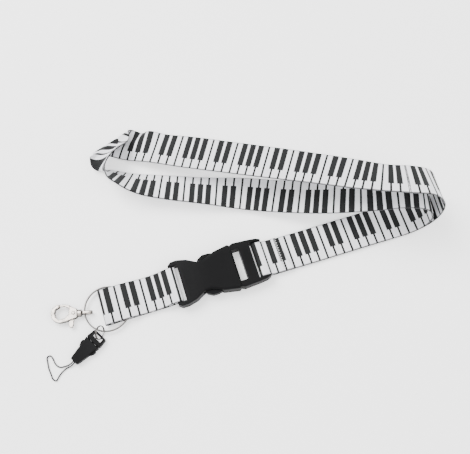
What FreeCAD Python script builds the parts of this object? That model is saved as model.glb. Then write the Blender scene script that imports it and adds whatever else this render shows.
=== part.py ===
import FreeCAD, Part
import math
import os
import Sketcher
from FreeCAD import Placement, Rotation, Vector

# A key-print neck lanyard: a neck strap with a side-release buckle, a short webbing loop with a
# split ring, a swivel lobster clasp, and a thin cord loop on a mini side-release buckle.
# Frame: x runs along the big buckle towards the neck strap, y to the left, z up from the table.
# The mouth of the big buckle is x = 0. Lengths are millimetres, angles are degrees.

SIZES = {
    # webbing
    "web_width": 25.0, "web_thick": 1.2, "layer_step": 1.4,
    # big buckle, socket half
    "sock_end": 44.5, "sock_wide": 32.0, "sock_waist": 21.6, "sock_band": 12.5, "sock_mouth": 32.4,
    "sock_tall": 9.6, "sock_low_tall": 7.4, "sock_floor": 2.0, "sock_roof": 7.6,
    "sock_slot_near": 38.2, "slot_width": 26.0, "bar_radius": 1.5, "bar_height": 5.0,
    "sock_bar_x": 43.0, "sock_cavity_deep": 34.0, "sock_window_far": 25.6, "edge_round": 1.1,
    # big buckle, plug half
    "plug_bar_x": 17.6, "plug_end": 22.4, "plug_tall": 8.4, "plug_floor": 0.6,
    "plug_window_near": 0.9, "plug_window_far": 6.1, "plug_mid_far": 13.7, "plug_neck": 26.6,
    "plug_window_width": 23.0, "guide_end": 30.0, "guide_width": 4.4, "guide_thick": 3.6,
    "prong_thick": 4.8, "prong_root_x": 4.6, "prong_root_y": 9.6, "prong_root_radius": 1.6,
    "prong_peak": 14.6, "pivot_gap": 0.08,
    # rings
    "ring_x": -91.5, "ring_y": -1.4, "ring_height": 2.68, "ring_radius": 15.35, "ring_wire": 0.95,
    "link_radius": 4.5, "link_wire": 0.6, "link_tilt": 22.0, "coil_gap": 0.06,
    # clasp
    "clasp_seat": 172.5, "clasp_turn": 168.0, "eye_radius": 2.4, "eye_hole": 1.6, "eye_thick": 1.8,
    "eye_reach": 3.0,
    "barrel_near": 2.0, "barrel_far": 4.7, "barrel_radius": 2.45, "post_radius": 0.9,
    "head_radius": 1.3, "head_near": 2.6, "head_far": 3.2, "clasp_thick": 3.4,
    "hook_x": 15.3, "hook_y": 0.8, "hook_long": 7.3, "hook_short": 6.4, "hole_long": 4.9,
    "hole_short": 4.4, "rivet_x": 7.4, "rivet_y": 0.4, "rivet_radius": 0.8, "lever_thick": 1.4,
    "rivet_head": 1.25,
    # mini buckle
    "mini_turn": 209.8, "mini_x": -99.9, "mini_y": -17.2, "mini_tall": 4.0, "mini_floor": 0.15,
    "mini_width": 10.4, "mini_shoulder": 11.8, "mini_bar": 1.5, "mini_window": 2.4,
    "mini_mouth": 7.2, "mini_length": 24.4, "mini_tip": 6.3, "mini_peak": 6.4,
    # cord
    "cord_wide": 1.0,
}

doc = FreeCAD.newDocument("lanyard")
dims = doc.addObject("Spreadsheet::Sheet", "dims")
for line, (alias, value) in enumerate(SIZES.items(), 1):
    dims.set("A%d" % line, alias)
    dims.set("B%d" % line, str(value))
    dims.setAlias("B%d" % line, alias)
doc.recompute()
V = SIZES
pieces = []


def finish(obj, label):
    """Give a finished piece its node name and list it for writing."""
    obj.Label = label
    pieces.append(obj)
    return obj


def unit(azimuth, elevation=0.0):
    az, el = math.radians(azimuth), math.radians(elevation)
    return Vector(math.cos(el) * math.cos(az), math.cos(el) * math.sin(az), math.sin(el))


# ---------------------------------------------------------------- webbing

def ribbon(label, stations):
    """Closed solid of webbing through stations of (centre, side direction, side skew)."""
    half_w, half_t = V["web_width"] / 2, V["web_thick"] / 2
    centres = [s[0] for s in stations]
    params = [0.0]
    for a, b in zip(centres, centres[1:]):
        params.append(params[-1] + (b - a).Length)
    spine = Part.BSplineCurve()
    spine.interpolate(Points=centres, Parameters=params)
    corners = [[], [], [], []]
    for (centre, side, skew), u in zip(stations, params):
        ahead = Vector(*spine.tangent(u)[0]).normalize()
        side = (side - ahead * side.dot(ahead)).normalize()
        face = ahead.cross(side)
        for row, (i, j) in zip(corners, ((1, 1), (1, -1), (-1, -1), (-1, 1))):
            row.append(centre + side * (i * half_w) + face * (j * half_t) + ahead * (i * skew))
    spans = params[:-3:4] + params[-1:]
    edges = []
    for row in corners:
        curve = Part.BSplineCurve()
        curve.interpolate(Points=row, Parameters=params)
        edges.append([curve.toShape(a, b) for a, b in zip(spans, spans[1:])])
    faces = [Part.makeRuledSurface(a, b, 1) for k in range(4)
             for a, b in zip(edges[k], edges[(k + 1) % 4])]
    for end in (0, -1):
        loop = [row[end].Vertexes[end].Point for row in edges]
        faces.append(Part.Face(Part.makePolygon(loop + loop[:1])))
    shell = Part.makeShell(faces)
    shell.sewShape(1e-5)
    solid = Part.makeSolid(shell)
    if solid.Volume < 0:
        solid.reverse()
    obj = doc.addObject("Part::Feature", label)
    obj.Shape = solid
    return finish(obj, label)


def flat(x, y, z, azimuth=90.0, bank=0.0, skew=0.0):
    return (Vector(x, y, z), unit(azimuth, bank), skew)


def roll(start, heading, axis, radius, up, side, bank, count):
    """Stations of webbing rolling half a turn about a level axis, after the start point.

    The cross lines stay parallel to the axis, so they skew against the webbing's own direction."""
    along, across = unit(axis), unit(axis - 90.0)
    cos_a, sin_a = math.cos(math.radians(axis - heading)), math.sin(math.radians(axis - heading))
    skew = side * V["web_width"] / 2 * cos_a / sin_a
    stations = []
    for k in range(1, count + 1):
        turn = math.pi * k / count
        lift = Vector(0, 0, up)
        point = (start + along * (cos_a / sin_a * radius * turn) + across * (radius * math.sin(turn))
                 + lift * (radius * (1 - math.cos(turn))))
        tangent = across * math.cos(turn) + lift * math.sin(turn)
        lean = math.tan(math.radians(bank)) * (1 - math.cos(turn)) / 2
        stations.append((point, (along * sin_a - tangent * cos_a) * side + Vector(0, 0, lean), skew))
    return stations


def wrap(x, z, radius, first, last, count=6):
    """Stations of webbing wrapping a bar that runs along y."""
    stations = []
    for k in range(count + 1):
        turn = math.radians(first + (last - first) * k / count)
        stations.append(flat(x + radius * math.cos(turn), 0, z + radius * math.sin(turn)))
    return stations


table = V["web_thick"] / 2
step = V["layer_step"]
wrap_radius = V["bar_radius"] + 0.15 + V["web_thick"] / 2
bar_x, bar_z = V["plug_bar_x"], V["bar_height"]

OUTER = {"x": 124.5, "radius": 22.4, "axis": 81.0, "bank": -20.0}
INNER = {"radius": 15.0, "heading": -19.0, "axis": 80.5}
FOLD = {"x": -51.5, "y": 118.0, "z": 1.6, "heading": 148.0, "axis": 198.5, "radius": 3.4}

neck = [flat(36, 0, table + 2 * step, skew=3.0), flat(31.5, 0, table + 2 * step),
        flat(27.6, 0, table + 2 * step + 0.03), flat(24.6, 0, table + 2 * step + 0.5),
        flat(20.8, 0, 6.35)]
neck += wrap(bar_x, bar_z, wrap_radius, 90, 270)
neck += [flat(20.5, 0, 2.2), flat(23.7, 0, table + 0.25), flat(27.4, 0, table)]
neck += [flat(x, 0, table) for x in (50, 80, 105, 114, 120)]
outer_start = Vector(OUTER["x"], 0, table)
neck += [flat(OUTER["x"], 0, table)]
neck += roll(outer_start, 0, OUTER["axis"], OUTER["radius"], 1, 1, OUTER["bank"], 8)
# the top run slopes down and away to the fold
ramp = [(112, 16.4, 45.6, 68, -21, 1), (99, 23.6, 43.2, 62, -17), (74, 39.6, 36.4, 58, -10),
        (43, 58.9, 28.0, 58, -4), (12, 78.3, 19.4, 58, 0), (-14, 94.6, 12.0, 58, 0, -1.2),
        (-31, 105.2, 7.4, 58, 0, -4.0), (-43, 112.7, 4.0, 58, 0, -7.2)]
neck += [flat(*s) for s in ramp]
fold_start = Vector(FOLD["x"], FOLD["y"], FOLD["z"])
neck += [flat(FOLD["x"], FOLD["y"], FOLD["z"], 58, 0, -10.3)]
neck += roll(fold_start, FOLD["heading"], FOLD["axis"], FOLD["radius"], 1, -1, 3, 6)
# the folded end drops over its own edge, stands up at the pinch and lies down again
twist = [(-62.8, 110.0, 10.0, -17, 26, -7.8), (-66.2, 104.6, 11.8, -26, 45, -3.5),
         (-67.6, 100.2, 12.5, -46, 60, 0.8), (-68.0, 96.4, 12.6, -75, 64, 2.6),
         (-66.6, 93.4, 11.7, -95, 57, 1.6), (-62.3, 89.6, 10.6, -104, 50, 1.6),
         (-54.4, 83.7, 9.2, -110, 41, 1.0), (-34.1, 73.9, 6.4, -117, 26, -1.4),
         (-0.9, 60.5, 4.8, -118, 17, -1.6)]
neck += [flat(*s) for s in twist]
inner_top = table + step + 2 * INNER["radius"]
middle = [(20, 52.5, 3.4, -115, 3), (45, 40.5, 7.6, -115, 0), (70, 28.6, 15.0, -114, 0),
          (95, 18.2, 24.0, -111, 0), (113, 11.9, 30.4, -109, 0)]
neck += [flat(*s) for s in middle]
lean = INNER["axis"] - INNER["heading"]
drift = math.pi * INNER["radius"] / math.tan(math.radians(lean))
inner_start = Vector(127.5, 0, inner_top) - unit(INNER["axis"]) * drift
inner_start.x = 127.5
neck += [(inner_start, unit(INNER["heading"] - 90), 0.0)]
neck += roll(inner_start, INNER["heading"], INNER["axis"], INNER["radius"], -1, -1, 0, 8)
neck += [flat(x, 0, table + step, -90) for x in (105, 80, 55, 31, 28)]
ribbon("neck_strap", neck)

low = V["ring_height"] - 1.73
high = V["ring_height"] + 1.73
loop = [flat(-63, 0, low), flat(-78, 0, low), flat(-88, 0, low)]
loop += wrap(-93.0, V["ring_height"], 1.73, 270, 90)
loop += [flat(-86, 0, high), flat(-76, 0, high - 0.1), flat(-69, 0, low + step + 0.45),
         flat(-61, 0, low + step), flat(-53.5, 0, low + step + 1.3), flat(-48, 0, 6.2)]
loop += wrap(-V["sock_bar_x"], bar_z, wrap_radius, 90, -90)
loop += [flat(-46.5, 0, 2.0), flat(-50.5, 0, low + 0.15), flat(-55, 0, low), flat(-61.5, 0, low)]
ribbon("lower_strap", loop)


def zigzag(label, x, low_z, tall, reach, tooth, count, breadth):
    """A zigzag row of thread across the webbing, as one flat band following the zigzag."""
    near, far = [], []
    for k in range(count + 1):
        y = -reach + 2 * reach * k / count
        swing = tooth if k % 2 else -tooth
        near.append(Vector(x + swing - breadth, y, low_z))
        far.append(Vector(x + swing + breadth, y, low_z))
    outline = near + far[::-1]
    face = Part.Face(Part.makePolygon(outline + outline[:1]))
    obj = doc.addObject("Part::Feature", label)
    obj.Shape = face.extrude(Vector(0, 0, tall))
    return finish(obj, label)


zigzag("neck_bar_tack", 32.4, table + 2 * step + V["web_thick"] / 2 + 0.2, 0.35, 11.6, 1.0, 26, 0.3)
zigzag("lower_bar_tack", -62.2, 0.0, 0.3, 11.6, 2.2, 24, 0.3)

# ---------------------------------------------------------------- part design helpers


def plane(body, role):
    return next(f for f in body.Origin.OriginFeatures if f.Role == role)


def sketch(body, name, role="XY_Plane", lift="0"):
    sk = body.newObject("Sketcher::SketchObject", name)
    sk.AttachmentSupport = (plane(body, role), [""])
    sk.MapMode = "FlatFace"
    sk.setExpression("AttachmentOffset.Base.z", lift)
    return sk


def pin_point(sk, geo, pos, x, y):
    for kind, text in (("DistanceX", x), ("DistanceY", y)):
        number = sk.addConstraint(Sketcher.Constraint(kind, -1, 1, geo, pos, 1.0))
        sk.setExpression("Constraints[%d]" % number, text)


def polygon(sk, corners):
    """Closed outline through corners given as pairs of expressions."""
    first, count = sk.GeometryCount, len(corners)
    ring = [Vector(9 * math.cos(2 * math.pi * k / count), 9 * math.sin(2 * math.pi * k / count), 0)
            for k in range(count)]
    for k in range(count):
        sk.addGeometry(Part.LineSegment(ring[k], ring[(k + 1) % count]))
    for k in range(count):
        sk.addConstraint(Sketcher.Constraint("Coincident", first + k, 2, first + (k + 1) % count, 1))
    for k, (x, y) in enumerate(corners):
        pin_point(sk, first + k, 1, x, y)


def circle(sk, x, y, radius):
    geo = sk.addGeometry(Part.Circle(Vector(1, 1, 0), Vector(0, 0, 1), 1.0))
    pin_point(sk, geo, 3, x, y)
    number = sk.addConstraint(Sketcher.Constraint("Radius", geo, 1.0))
    sk.setExpression("Constraints[%d]" % number, radius)


def feature(body, kind, name, profile, length=None, midplane=False, through=False, reverse=False):
    f = body.newObject("PartDesign::" + kind, name)
    f.Profile = profile
    if through:
        f.Type = "ThroughAll"
    if length:
        f.setExpression("Length", length)
    f.Midplane = midplane
    f.Reversed = reverse
    profile.Visibility = False
    return f


def mirrored(half):
    """Outline made of a half and its reflection in the x axis."""
    return half + [(x, "-(%s)" % y) for x, y in half[::-1]]


def round_edges(body, name, base, radius, keep):
    """Fillet the edges of the base feature that the keep test picks."""
    doc.recompute()
    names = ["Edge%d" % n for n, e in enumerate(base.Shape.Edges, 1) if keep(e)]
    f = body.newObject("PartDesign::Fillet", name)
    f.Base = (base, names)
    f.setExpression("Radius", radius)
    return f


def upright(edge):
    a, b = edge.Vertexes[0].Point, edge.Vertexes[-1].Point
    return abs(a.x - b.x) < 1e-6 and abs(a.y - b.y) < 1e-6 and abs(a.z - b.z) > 1


def level(edge, z):
    return all(abs(v.Point.z - z) < 1e-6 for v in edge.Vertexes)


def y_bar(body, name, x):
    """Round bar between the rails of a buckle half."""
    bar = sketch(body, name + "_section", "XZ_Plane")
    circle(bar, x, "dims.bar_height", "dims.bar_radius")
    return feature(body, "Pad", name, bar, "dims.slot_width + 1", midplane=True)


# ---------------------------------------------------------------- big buckle: socket

body = doc.addObject("PartDesign::Body", "buckle_socket")
sk = sketch(body, "socket_outline")
polygon(sk, mirrored([
    ("-dims.sock_end", "dims.sock_wide / 2 - 2"), ("-dims.sock_end + 2.4", "dims.sock_wide / 2"),
    ("-dims.sock_end + 7", "dims.sock_wide / 2"), ("-31", "14.4"),
    ("-24.5", "dims.sock_waist / 2"), ("-20", "dims.sock_waist / 2"),
    ("-dims.sock_band - 0.6", "13.4"), ("-dims.sock_band + 0.6", "14.2"),
    ("-1", "dims.sock_mouth / 2"), ("0", "dims.sock_mouth / 2 - 0.8")]))
block = feature(body, "Pad", "socket_block", sk, "dims.sock_tall")
rim = round_edges(body, "socket_corners", block, "dims.edge_round",
                  lambda e: upright(e) and e.CenterOfMass.x < -0.5)
soft = round_edges(body, "socket_edges", rim, "dims.edge_round * 1.3",
                   lambda e: level(e, V["sock_tall"]) and e.CenterOfMass.x < -0.6)
sk = sketch(body, "socket_slope", "XZ_Plane")
polygon(sk, [("-20", "dims.sock_tall"), ("-24.5", "dims.sock_tall - 0.12"), ("-29", "dims.sock_tall - 0.4"),
             ("-33.5", "dims.sock_tall - 0.82"), ("-38", "dims.sock_tall - 1.36"),
             ("-42.5", "dims.sock_tall - 2.0"), ("-dims.sock_end - 2", "dims.sock_low_tall - 0.4"),
             ("-dims.sock_end - 2", "dims.sock_tall + 2"), ("-20", "dims.sock_tall + 2")])
feature(body, "Pocket", "socket_taper", sk, "60", midplane=True)
sk = sketch(body, "socket_slot")
polygon(sk, mirrored([("-dims.sock_end - 3", "dims.slot_width / 2"),
                      ("-dims.sock_slot_near", "dims.slot_width / 2")]))
slot = feature(body, "Pocket", "socket_slot_cut", sk, through=True, midplane=True)
bar = y_bar(body, "socket_bar", "-dims.sock_bar_x")
sk = sketch(body, "socket_cavity", lift="dims.sock_floor")
polygon(sk, mirrored([
    ("1", "13.5"), ("-dims.sock_band", "12.2"), ("-dims.sock_band", "22"),
    ("-dims.sock_window_far", "22"), ("-dims.sock_window_far", "8.6"),
    ("-dims.sock_cavity_deep", "8.6")]))
cavity = feature(body, "Pocket", "socket_hollow", sk, "dims.sock_roof - dims.sock_floor", reverse=True)
body.Tip = cavity
finish(body, "buckle_socket")

# ---------------------------------------------------------------- big buckle: plug

body = doc.addObject("PartDesign::Body", "buckle_plug")
sk = sketch(body, "plug_outline", lift="dims.plug_floor")
polygon(sk, mirrored([
    ("0.3", "dims.sock_mouth / 2 - 1"), ("2.6", "dims.sock_mouth / 2"), ("14", "15.4"),
    ("19.5", "14.7"), ("dims.plug_end", "13.3")]))
block = feature(body, "Pad", "plug_block", sk, "dims.plug_tall")
rim = round_edges(body, "plug_corners", block, "dims.edge_round",
                  lambda e: upright(e) and e.CenterOfMass.x > 1)
soft = round_edges(body, "plug_edges", rim, "dims.edge_round * 0.75",
                   lambda e: level(e, V["plug_floor"] + V["plug_tall"]) and e.CenterOfMass.x > 0.4)
sk = sketch(body, "plug_window")
polygon(sk, mirrored([("dims.plug_window_near", "dims.plug_window_width / 2"),
                      ("dims.plug_window_far", "dims.plug_window_width / 2")]))
feature(body, "Pocket", "plug_window_cut", sk, through=True, midplane=True)
sk = sketch(body, "plug_slot")
polygon(sk, mirrored([("dims.plug_mid_far", "dims.slot_width / 2"),
                      ("dims.plug_end + 3", "dims.slot_width / 2")]))
feature(body, "Pocket", "plug_slot_cut", sk, through=True, midplane=True)
y_bar(body, "plug_bar", "dims.plug_bar_x")
sk = sketch(body, "plug_neck_outline", lift="dims.bar_height - 2.4")
polygon(sk, mirrored([("-3.4", "dims.plug_neck / 2 - 0.4"), ("0.9", "dims.plug_neck / 2 - 0.2")]))
feature(body, "Pad", "plug_neck_block", sk, "4.9")
sk = sketch(body, "plug_guide", lift="dims.bar_height - dims.guide_thick / 2")
polygon(sk, mirrored([("-dims.guide_end", "dims.guide_width / 2 - 0.8"),
                      ("-dims.guide_end + 1.5", "dims.guide_width / 2"),
                      ("-3", "dims.guide_width / 2")]))
feature(body, "Pad", "plug_guide_bar", sk, "dims.guide_thick")
sk = sketch(body, "plug_pivots")
for sign in ("", "-"):
    circle(sk, "-dims.prong_root_x", sign + "dims.prong_root_y",
           "dims.prong_root_radius + dims.pivot_gap")
cut = feature(body, "Pocket", "plug_pivot_seats", sk, through=True, midplane=True)
body.Tip = cut
finish(body, "buckle_plug")

# ---------------------------------------------------------------- big buckle: prongs

for label, sign in (("buckle_prong_left", ""), ("buckle_prong_right", "-")):
    body = doc.addObject("PartDesign::Body", label)
    sk = sketch(body, label + "_arm", lift="dims.bar_height - dims.prong_thick / 2")
    outline = [("-dims.prong_root_x", "8.3"), ("-13.5", "8.5"), ("-24.2", "8.2"), ("-25.2", "9.8"),
               ("-23.4", "12.5"), ("-19.6", "dims.prong_peak"), ("-15.6", "dims.prong_peak"),
               ("-dims.sock_band - 0.5", "13.9"), ("-dims.sock_band - 0.3", "11.3"),
               ("-9", "11.1"), ("-dims.prong_root_x", "10.9")]
    polygon(sk, [(x, "%s(%s)" % (sign, y)) for x, y in outline])
    arm = feature(body, "Pad", label + "_bar", sk, "dims.prong_thick")
    soft = round_edges(body, label + "_corners", arm, "0.45",
                       lambda e: upright(e) and e.CenterOfMass.x < -14)
    sk = sketch(body, label + "_root", lift="dims.bar_height - dims.prong_thick / 2")
    circle(sk, "-dims.prong_root_x", sign + "dims.prong_root_y", "dims.prong_root_radius")
    root = feature(body, "Pad", label + "_knuckle", sk, "dims.prong_thick")
    body.Tip = root
    finish(body, label)

# ---------------------------------------------------------------- split rings


def split_ring(label, radius, wire, place):
    """Two flat turns of round wire, one on the other, joined by a short step between them."""
    pitch = wire + V["coil_gap"]
    points = []
    for k in range(31):
        turn = 655 * k / 30
        rise = min(max((turn - 300) / 55, 0), 1)
        angle = math.radians(turn)
        points.append(Vector(radius * math.cos(angle), radius * math.sin(angle),
                             pitch * (rise * rise * (3 - 2 * rise) - 0.5)))
    line = Part.BSplineCurve()
    line.interpolate(points)
    profile = Part.Circle(points[0], Vector(*line.tangent(line.FirstParameter)[0]), wire / 2)
    obj = doc.addObject("Part::Feature", label)
    obj.Shape = Part.Wire(line.toShape()).makePipeShell([Part.Wire(profile.toShape())], True, False)
    obj.Placement = place
    return finish(obj, label)


ring_centre = Vector(V["ring_x"], V["ring_y"], V["ring_height"])
split_ring("split_ring", V["ring_radius"], V["ring_wire"],
           Placement(ring_centre, Rotation(Vector(0, 0, 1), 60)))

# ---------------------------------------------------------------- clasp, built along its own x axis

seat = ring_centre + unit(V["clasp_seat"]) * V["ring_radius"]
clasp_place = Placement(seat, Rotation(Vector(0, 0, 1), V["clasp_turn"]))
# the hook has turned half round on its swivel, so the thumb tab lies toward the small buckle
hook_place = clasp_place.multiply(Placement(Vector(0, 0, 0), Rotation(Vector(1, 0, 0), 180)))


def bind(obj, **sizes):
    for name, text in sizes.items():
        obj.setExpression(name, text)
    return obj


def rod(name, x, radius, length):
    """Round rod along x, from x over the length."""
    obj = doc.addObject("Part::Cylinder", name)
    bind(obj, Radius=radius, Height=length)
    obj.Placement = Placement(Vector(x, 0, 0), Rotation(Vector(0, 1, 0), 90))
    return obj


def peg(name, axis_x, axis_y, low_z, radius, height, up=Vector(0, 0, 1)):
    """Round peg standing on its base point."""
    obj = doc.addObject("Part::Cylinder", name)
    bind(obj, Radius=radius, Height=height)
    obj.Placement = Placement(Vector(axis_x, axis_y, low_z), Rotation(Vector(0, 0, 1), up))
    return obj


def fuse(name, *shapes):
    obj = doc.addObject("Part::MultiFuse", name)
    obj.Shapes = list(shapes)
    return obj


def cut(name, base, tool):
    obj = doc.addObject("Part::Cut", name)
    obj.Base, obj.Tool = base, tool
    return obj


half_eye = V["eye_thick"] / 2
eye = peg("eye_disc", 0, half_eye, 0, "dims.eye_radius", "dims.eye_thick", Vector(0, -1, 0))
far_eye = peg("eye_far_disc", -V["eye_reach"], half_eye, 0, "dims.eye_radius", "dims.eye_thick",
              Vector(0, -1, 0))
eye_web = doc.addObject("Part::Box", "eye_web")
bind(eye_web, Length="dims.eye_reach", Width="dims.eye_thick", Height="2 * dims.eye_radius")
eye_web.Placement = Placement(Vector(-V["eye_reach"], -half_eye, -V["eye_radius"]), Rotation())
barrel = rod("barrel", V["barrel_near"], "dims.barrel_radius", "dims.barrel_far - dims.barrel_near")
eye_hole = peg("eye_bore", 0, 3, 0, "dims.eye_hole", "6", Vector(0, -1, 0))
far_hole = peg("eye_far_bore", -V["eye_reach"], 3, 0, "dims.eye_hole", "6", Vector(0, -1, 0))
hole_web = doc.addObject("Part::Box", "hole_web")
bind(hole_web, Length="dims.eye_reach", Width="6", Height="2 * dims.eye_hole")
hole_web.Placement = Placement(Vector(-V["eye_reach"], -3, -V["eye_hole"]), Rotation())
post_bore = rod("post_bore", V["head_near"], "dims.post_radius + 0.06", "3")
head_room = rod("head_room", V["head_near"] - 0.08, "dims.head_radius + 0.08",
                "dims.head_far - dims.head_near + 0.16")
swivel = cut("clasp_swivel_cut", fuse("swivel_solid", eye, far_eye, eye_web, barrel),
             fuse("swivel_bores", eye_hole, far_hole, hole_web, post_bore, head_room))
swivel.Placement = clasp_place
finish(swivel, "clasp_swivel")

half = "dims.clasp_thick / 2"
body = doc.addObject("PartDesign::Body", "clasp_body")
sk = sketch(body, "clasp_hook")
polygon(sk, [("5.0", "-2.9"), ("8.6", "-4.0"), ("dims.hook_x - 1.6", "-5.4"),
             ("dims.hook_x + 1.6", "-5.8"), ("dims.hook_x + 4.8", "-4.6"),
             ("dims.hook_x + 6.8", "-2.0"), ("dims.hook_x + dims.hook_long", "dims.hook_y + 0.6"),
             ("dims.hook_x + 6.4", "4.4"), ("dims.hook_x + 3.6", "6.6"),
             ("dims.hook_x - 0.6", "dims.hook_y + dims.hook_short"), ("dims.hook_x - 4.6", "6.4"),
             ("9.4", "4.9"), ("5.0", "3.1")])
hook = feature(body, "Pad", "clasp_plate", sk, "dims.clasp_thick", midplane=True)
soft = round_edges(body, "clasp_corners", hook, "0.9", upright)
sk = sketch(body, "clasp_hole")
polygon(sk, [("dims.hook_x - dims.hole_long", "dims.hook_y + 1.6"),
             ("dims.hook_x - dims.hole_long + 0.4", "dims.hook_y - 1.4"),
             ("dims.hook_x - 2.2", "dims.hook_y - dims.hole_short + 0.8"),
             ("dims.hook_x + 1.8", "dims.hook_y - dims.hole_short - 0.2"),
             ("dims.hook_x + 4.1", "dims.hook_y - 2.6"),
             ("dims.hook_x + dims.hole_long", "dims.hook_y + 0.2"),
             ("dims.hook_x + 4.2", "dims.hook_y + 2.9"),
             ("dims.hook_x + 1.4", "dims.hook_y + dims.hole_short"),
             ("dims.hook_x - dims.hole_long + 0.2", "dims.hook_y + dims.hole_short - 0.6")])
hole = feature(body, "Pocket", "clasp_hole_cut", sk, through=True, midplane=True)
# the upper side of the hook is open, where the lever closes it
sk = sketch(body, "clasp_gate")
polygon(sk, [("dims.rivet_x + 2.8", "2.2"), ("dims.rivet_x + 2.8", "9"), ("dims.hook_x + 2.2", "9"),
             ("dims.hook_x + 1.2", "3.2")])
feature(body, "Pocket", "clasp_gate_cut", sk, through=True, midplane=True)
# the slot that holds the lever
sk = sketch(body, "clasp_slot")
polygon(sk, [("dims.rivet_x - 2.3", "-7"), ("dims.rivet_x - 2.0", "dims.rivet_y + 2.2"),
             ("dims.rivet_x + 0.4", "9"), ("dims.hook_x + 3.4", "9"), ("dims.hook_x + 3.6", "3.9"),
             ("dims.hook_x - dims.hole_long + 1", "-1.4"), ("dims.rivet_x + 3.6", "-7")])
feature(body, "Pocket", "clasp_slot_cut", sk, "dims.lever_thick + 0.3", midplane=True)
sk = sketch(body, "clasp_rivet_seat")
circle(sk, "dims.rivet_x", "dims.rivet_y", "dims.rivet_radius + 0.02")
seat_cut = feature(body, "Pocket", "clasp_rivet_bore", sk, through=True, midplane=True)
sk = sketch(body, "clasp_post_section", "YZ_Plane", "dims.head_near")
circle(sk, "0", "0", "dims.head_radius")
feature(body, "Pad", "clasp_post_head", sk, "dims.head_far - dims.head_near")
sk = sketch(body, "clasp_post_core", "YZ_Plane", "dims.head_near + 0.2")
circle(sk, "0", "0", "dims.post_radius")
post = feature(body, "Pad", "clasp_post", sk, "5.4 - dims.head_near")
body.Tip = post
body.Placement = hook_place
finish(body, "clasp_body")

body = doc.addObject("PartDesign::Body", "clasp_lever")
sk = sketch(body, "lever_outline")
polygon(sk, [("dims.rivet_x - 1.3", "dims.rivet_y - 0.4"), ("dims.rivet_x - 0.2", "-4.2"),
             ("dims.rivet_x + 0.2", "-8.0"), ("dims.rivet_x + 1.0", "-9.5"),
             ("dims.rivet_x + 2.8", "-9.3"), ("dims.rivet_x + 3.5", "-7.6"),
             ("dims.rivet_x + 2.8", "-3.4"), ("dims.rivet_x + 1.5", "dims.rivet_y"),
             ("dims.rivet_x + 3.2", "4.0"), ("dims.hook_x - 2", "5.4"), ("dims.hook_x + 1.6", "5.5"),
             ("dims.hook_x + 1.9", "6.9"), ("dims.hook_x - 2.4", "6.8"), ("dims.rivet_x + 2.6", "6.0"),
             ("dims.rivet_x + 0.4", "4.4"), ("dims.rivet_x - 1.4", "dims.rivet_y + 0.6")])
arm = feature(body, "Pad", "lever_arm", sk, "dims.lever_thick", midplane=True)
soft = round_edges(body, "lever_corners", arm, "0.4",
                   lambda e: upright(e) and e.CenterOfMass.y < -6)
sk = sketch(body, "lever_hub")
circle(sk, "dims.rivet_x", "dims.rivet_y", "dims.rivet_radius + 0.8")
feature(body, "Pad", "lever_hub_disc", sk, "dims.lever_thick", midplane=True)
sk = sketch(body, "lever_bore")
circle(sk, "dims.rivet_x", "dims.rivet_y", "dims.rivet_radius + 0.06")
bore = feature(body, "Pocket", "lever_bore_cut", sk, through=True, midplane=True)
body.Tip = bore
body.Placement = hook_place
finish(body, "clasp_lever")

reach = V["clasp_thick"] / 2
shank = peg("rivet_shank", V["rivet_x"], V["rivet_y"], -reach, "dims.rivet_radius", "dims.clasp_thick")
top_head = peg("rivet_top", V["rivet_x"], V["rivet_y"], reach, "dims.rivet_head", "0.35")
low_head = peg("rivet_base", V["rivet_x"], V["rivet_y"], -reach - 0.35, "dims.rivet_head", "0.35")
rivet = fuse("clasp_rivet_solid", shank, top_head, low_head)
rivet.Placement = hook_place
finish(rivet, "clasp_rivet")

# ---------------------------------------------------------------- mini buckle, built along its own x

mini_place = Placement(Vector(V["mini_x"], V["mini_y"], V["mini_floor"]),
                       Rotation(Vector(0, 0, 1), V["mini_turn"]))

body = doc.addObject("PartDesign::Body", "mini_plug")
sk = sketch(body, "mini_plug_outline")
polygon(sk, mirrored([("0", "dims.mini_width / 2 - 0.8"), ("0.8", "dims.mini_width / 2"),
                      ("dims.mini_mouth - 1.2", "dims.mini_shoulder / 2"),
                      ("dims.mini_mouth - 0.1", "dims.mini_shoulder / 2 - 0.4")]))
block = feature(body, "Pad", "mini_plug_block", sk, "dims.mini_tall")
soft = round_edges(body, "mini_plug_edges", block, "0.5", lambda e: level(e, V["mini_tall"]))
sk = sketch(body, "mini_plug_window")
polygon(sk, mirrored([("dims.mini_bar", "dims.mini_width / 2 - 1.4"),
                      ("dims.mini_bar + dims.mini_window", "dims.mini_width / 2 - 1.2")]))
feature(body, "Pocket", "mini_plug_window_cut", sk, through=True, midplane=True)
# the outer bar is thinner than the frame, to leave room for the link ring under it
sk = sketch(body, "mini_plug_relief", "XZ_Plane")
polygon(sk, [("-1", "-1"), ("dims.mini_bar + 0.6", "-1"), ("dims.mini_bar + 0.6", "2.6"), ("-1", "2.6")])
feature(body, "Pocket", "mini_plug_relief_cut", sk, "dims.mini_width - 2.8", midplane=True)
sk = sketch(body, "mini_plug_guide", lift="dims.mini_tall / 2 - 0.7")
polygon(sk, mirrored([("dims.mini_mouth - 0.6", "0.9"), ("17.5", "0.9"), ("18.2", "0.5")]))
feature(body, "Pad", "mini_plug_tongue", sk, "1.4")
sk = sketch(body, "mini_plug_pivots")
for sign in ("", "-"):
    circle(sk, "dims.mini_mouth", sign + "3.9", "0.7 + dims.pivot_gap")
cut_seats = feature(body, "Pocket", "mini_plug_seats", sk, through=True, midplane=True)
body.Tip = cut_seats
body.Placement = mini_place
finish(body, "mini_plug")

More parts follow.
